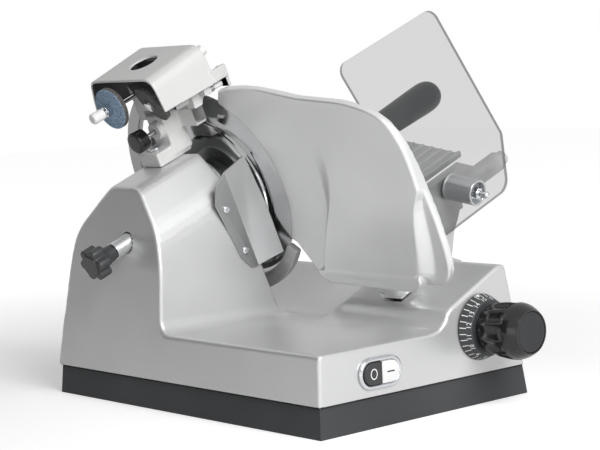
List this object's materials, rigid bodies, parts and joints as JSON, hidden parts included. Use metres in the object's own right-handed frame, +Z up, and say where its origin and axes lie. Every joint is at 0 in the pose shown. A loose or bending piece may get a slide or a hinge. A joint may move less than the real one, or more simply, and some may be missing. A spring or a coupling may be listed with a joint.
{
  "type": "meat slicer",
  "caption": "Gravity-feed meat slicer: inclined round blade on a motor tower, gauge plate set by a dial, sliding food carriage with clear guard and pusher, and a top-mounted sharpener.",
  "frame": {"origin": "centre of the base's underside, on the surface the slicer stands on", "axes": "+Z up, +Y away from the operator along the carriage's travel, +X to the operator's right along the front panel"},
  "size_m": [0.4514, 0.5055, 0.4071],
  "materials": {
    "cast_aluminium": "satin as cast, polished edges",
    "machined_aluminium": "machined",
    "polished_steel": "polished",
    "dark_steel": "dull",
    "black_rubber": "fine texture",
    "black_plastic": "gloss",
    "dark_grip": "fine turned texture",
    "white_plastic": "satin",
    "painted_casting": "light grey paint",
    "grit_stone": "blue-grey abrasive",
    "hone_stone": "dark abrasive",
    "clear_polycarbonate": "clear",
    "brass": "machined"
  },
  "bodies": {
    "base": {"housing": "cast_aluminium", "base_skirt": "black_rubber", "bottom_plate": "dark_steel", "cord_gland": "black_rubber", "switch_bezel": "cast_aluminium", "switch_block": "black_plastic", "spindle_bush": "brass", "gauge_frame": "dark_steel", "blade_cover": "polished_steel", "bearing_housing": "machined_aluminium", "bearing_1": "polished_steel", "bearing_2": "polished_steel", "drive_belt": "black_rubber", "motor": "dark_steel", "ring_guard": "cast_aluminium", "deflector": "polished_steel", "deflector_screw_1": "polished_steel", "deflector_screw_2": "polished_steel", "tie_sleeve": "polished_steel", "sharpener_bracket": "painted_casting", "eccentric_screw": "polished_steel", "carriage_rod": "polished_steel", "carriage_rail": "dark_steel"},
    "off_push": {"off_button": "black_plastic"},
    "on_push": {"on_button": "white_plastic"},
    "thickness_dial": {"dial_ring": "black_plastic", "thickness_knob": "black_plastic", "knob_cap": "black_plastic", "thickness_spindle": "polished_steel"},
    "gauge": {"gauge_plate": "cast_aluminium", "gauge_carrier": "machined_aluminium", "gauge_seal": "white_plastic"},
    "blade_assembly": {"blade": "polished_steel", "blade_shaft": "polished_steel", "blade_screw_1": "polished_steel", "blade_screw_2": "polished_steel", "blade_screw_3": "polished_steel", "blade_pulley": "machined_aluminium"},
    "motor_rotor": {"motor_pulley": "polished_steel"},
    "tie_knob": {"star_knob": "black_plastic", "tie_rod": "polished_steel"},
    "sharpener": {"sharpener_head": "painted_casting", "sharpener_cover": "painted_casting"},
    "clamp": {"clamp_knob": "black_plastic"},
    "grind_spindle": {"grind_shaft": "polished_steel", "grind_button": "white_plastic"},
    "grind_stone": {"grinding_wheel": "grit_stone"},
    "hone_spindle": {"hone_shaft": "polished_steel", "hone_button": "white_plastic"},
    "hone_stone": {"honing_wheel": "hone_stone"},
    "carriage": {"carriage_slider": "machined_aluminium", "carriage_arm": "cast_aluminium", "product_tray": "cast_aluminium", "pusher_bar": "dark_steel", "hand_guard": "clear_polycarbonate", "stud_boss": "polished_steel", "guard_stud": "polished_steel"},
    "pusher": {"pusher_collar": "dark_steel", "pusher_plate": "cast_aluminium", "pusher_handle": "dark_grip"}
  },
  "joints": [
    {"name": "off_press", "type": "slide", "parent": "base", "child": "off_push", "axis": [0, 1, 0], "range_m": [0, 0.003], "stiffness_N_per_m": 400, "springref_m": -0.006},
    {"name": "on_press", "type": "slide", "parent": "base", "child": "on_push", "axis": [0, 1, 0], "range_m": [0, 0.003], "stiffness_N_per_m": 400, "springref_m": -0.006},
    {"name": "thickness_turn", "type": "hinge", "parent": "base", "child": "thickness_dial", "pos_m": [0.0771, -0.213, 0.0797], "axis": [0, -1, 0], "range_deg": [0, 337.5]},
    {"name": "gauge_slide", "type": "slide", "parent": "base", "child": "gauge", "axis": [-0.9232, 0, -0.3843], "range_m": [0, 0.015]},
    {"name": "blade_spin", "type": "hinge", "parent": "base", "child": "blade_assembly", "pos_m": [-0.0622, 0.0865, 0.20662], "axis": [0.9232, 0, 0.3843], "continuous": true},
    {"name": "motor_spin", "type": "hinge", "parent": "base", "child": "motor_rotor", "pos_m": [-0.05638, 0.097, 0.11458], "axis": [0.9232, 0, 0.3843], "continuous": true},
    {"name": "tie_turn", "type": "hinge", "parent": "base", "child": "tie_knob", "pos_m": [-0.15452, 0.0865, 0.16819], "axis": [0.9232, 0, 0.3843], "continuous": true},
    {"name": "sharpener_lift", "type": "slide", "parent": "base", "child": "sharpener", "axis": [-0.3843, 0, 0.9232], "range_m": [0, 0.025]},
    {"name": "clamp_turn", "type": "hinge", "parent": "base", "child": "clamp", "pos_m": [-0.10575, 0.087, 0.28522], "axis": [0.9232, 0, 0.3843], "range_deg": [-180, 180]},
    {"name": "grind_push", "type": "slide", "parent": "sharpener", "child": "grind_spindle", "axis": [0.9232, 0, 0.3843], "range_m": [0, 0.003], "stiffness_N_per_m": 400, "springref_m": -0.008},
    {"name": "grind_spin", "type": "hinge", "parent": "grind_spindle", "child": "grind_stone", "pos_m": [-0.14016, 0.104, 0.31584], "axis": [0.9232, 0, 0.3843], "continuous": true},
    {"name": "hone_push", "type": "slide", "parent": "sharpener", "child": "hone_spindle", "axis": [-0.6997, 0.2198, -0.6798], "range_m": [0, 0.003], "stiffness_N_per_m": 400, "springref_m": -0.008},
    {"name": "hone_spin", "type": "hinge", "parent": "hone_spindle", "child": "hone_stone", "pos_m": [-0.12016, 0.0595, 0.31984], "axis": [0.6997, -0.2198, 0.6798], "continuous": true},
    {"name": "carriage_travel", "type": "slide", "parent": "base", "child": "carriage", "axis": [0, 1, 0], "range_m": [0, 0.215]},
    {"name": "pusher_travel", "type": "slide", "parent": "carriage", "child": "pusher", "axis": [-0.9232, 0, -0.3843], "range_m": [0, 0.074]}
  ],
  "couplings": [
    {"joint": "thickness_turn", "follows": "gauge_slide", "rad_per_m": 392.69},
    {"joint": "motor_spin", "follows": "blade_spin", "ratio": 2.4}
  ]
}
